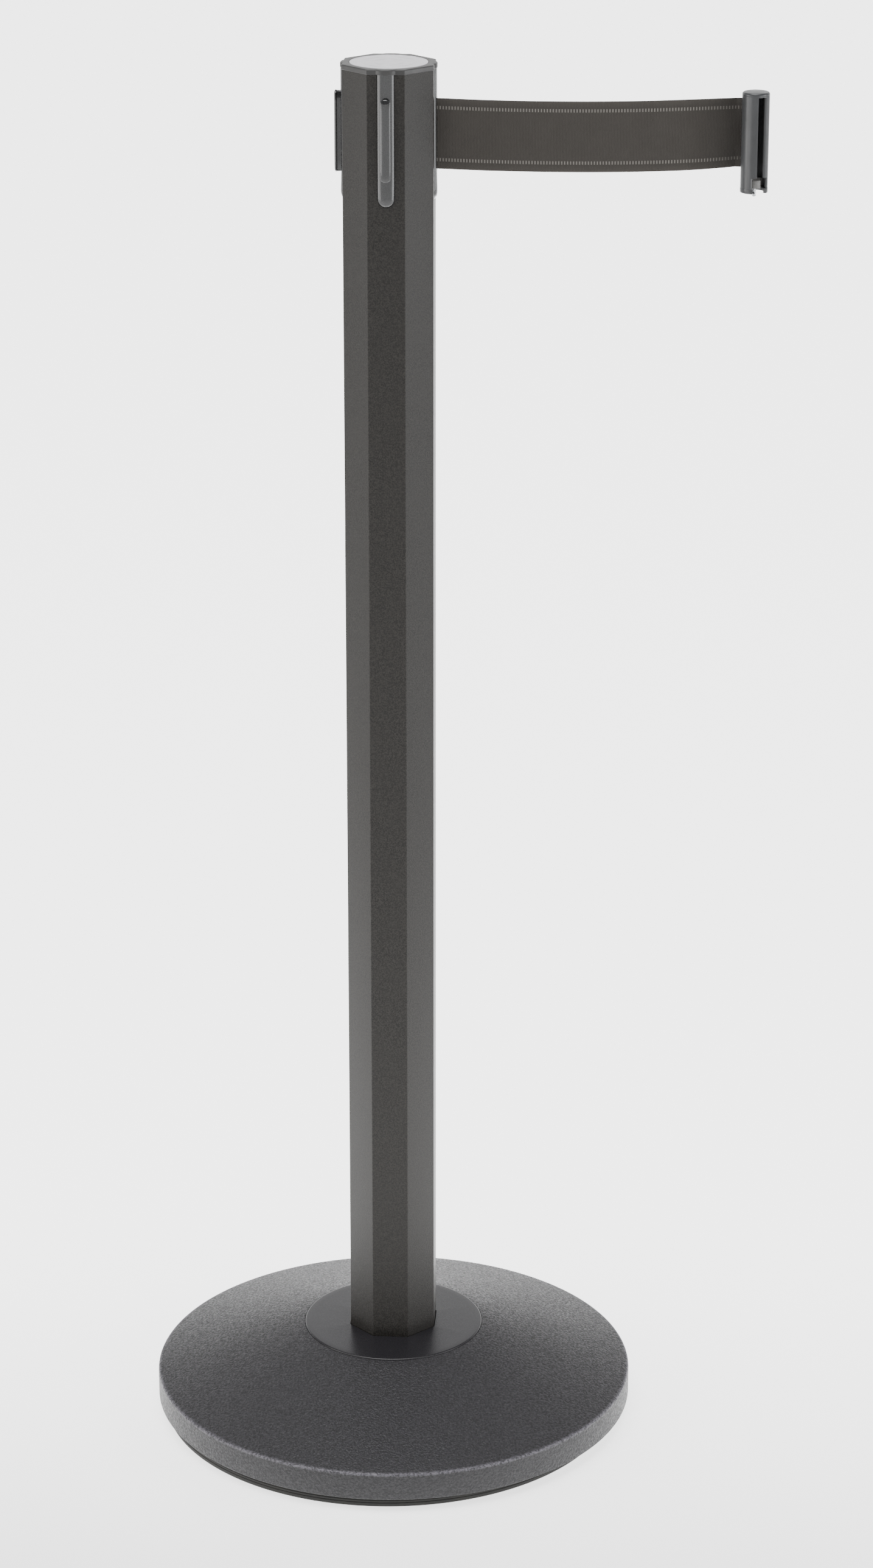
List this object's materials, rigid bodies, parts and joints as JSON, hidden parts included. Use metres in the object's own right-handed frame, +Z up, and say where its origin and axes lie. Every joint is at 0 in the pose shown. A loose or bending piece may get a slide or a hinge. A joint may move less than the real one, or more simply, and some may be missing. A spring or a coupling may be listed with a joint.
{
  "type": "retractable belt stanchion",
  "caption": "Free-standing queue post: octagonal post on a round weighted base, with a spring reel of belt in its head, T-rail receivers on three sides and a slotted swivel clip.",
  "frame": {"origin": "on the floor, on the post's axis", "axes": "+Z up the post, +X the way the belt leaves, -Y the front"},
  "size_m": [0.4369, 0.3556, 1.016],
  "materials": {
    "ring_rubber": "matt black rubber",
    "base_coat": "coarse textured black powder coat",
    "collar_coat": "smooth satin black coat",
    "post_coat": "fine textured black powder coat",
    "plain_steel": "mill finish",
    "zinc_steel": "zinc plated",
    "bright_steel": "polished",
    "spring_steel": "blued spring steel",
    "bronze": "sintered bronze",
    "gloss_moulding": "gloss black moulding",
    "cap_moulding": "satin black moulding",
    "inner_moulding": "plain black moulding",
    "clip_moulding": "satin gloss charcoal moulding",
    "latch_moulding": "light grey moulding",
    "silver_disc": "satin silver",
    "webbing": "ribbed black webbing with light dashes"
  },
  "bodies": {
    "root": {"floor_ring": "ring_rubber", "base_weight": "base_coat", "hub_collar": "collar_coat", "foot_insert": "plain_steel", "base_bolt": "zinc_steel", "base_washer": "zinc_steel", "lock_washer": "zinc_steel", "post_tube": "post_coat", "front_receiver": "gloss_moulding", "left_receiver": "gloss_moulding", "back_receiver": "gloss_moulding", "outlet_strip": "gloss_moulding", "guide_pins": "bright_steel", "cassette_shell": "inner_moulding", "cassette_lid": "inner_moulding", "lid_screws": "zinc_steel", "lower_bush": "bronze", "upper_bush": "bronze", "spring_barrel": "plain_steel", "spring_cover": "plain_steel", "power_spring": "spring_steel", "cap": "cap_moulding", "cap_screws": "zinc_steel", "top_disc": "silver_disc", "belt_run": "webbing"},
    "reel": {"spool": "inner_moulding", "spool_shaft": "bright_steel", "belt_roll": "webbing"},
    "belt_end": {"belt_loop": "webbing"},
    "clip": {"clip_shell": "clip_moulding", "clip_cap": "clip_moulding", "clip_foot": "clip_moulding", "swivel_pin": "bright_steel", "latch_spring": "spring_steel"},
    "latch": {"latch_collar": "latch_moulding", "thumb_pin": "bright_steel"}
  },
  "joints": [
    {"name": "belt_pull", "type": "slide", "parent": "root", "child": "belt_end", "axis": [1, 0, 0], "range_m": [-0.198, 1.9], "deforming": ["belt_run"]},
    {"name": "reel_spin", "type": "hinge", "parent": "root", "child": "reel", "pos_m": [0, 0, 0.9672], "axis": [0, 0, 1], "range_deg": [-7400, 800], "deforming": ["power_spring"]},
    {"name": "clip_swivel", "type": "hinge", "parent": "belt_end", "child": "clip", "pos_m": [0.246, 0, 0.9672], "axis": [0, 0, 1], "range_deg": [-3, 127]},
    {"name": "latch_turn", "type": "hinge", "parent": "clip", "child": "latch", "pos_m": [0.24957, -0.00671, 0.937], "axis": [0, 0, 1], "range_deg": [-53, 0], "stiffness_Nm_per_rad": 0.02}
  ],
  "couplings": [
    {"joint": "reel_spin", "follows": "belt_pull", "rad_per_m": -66}
  ]
}
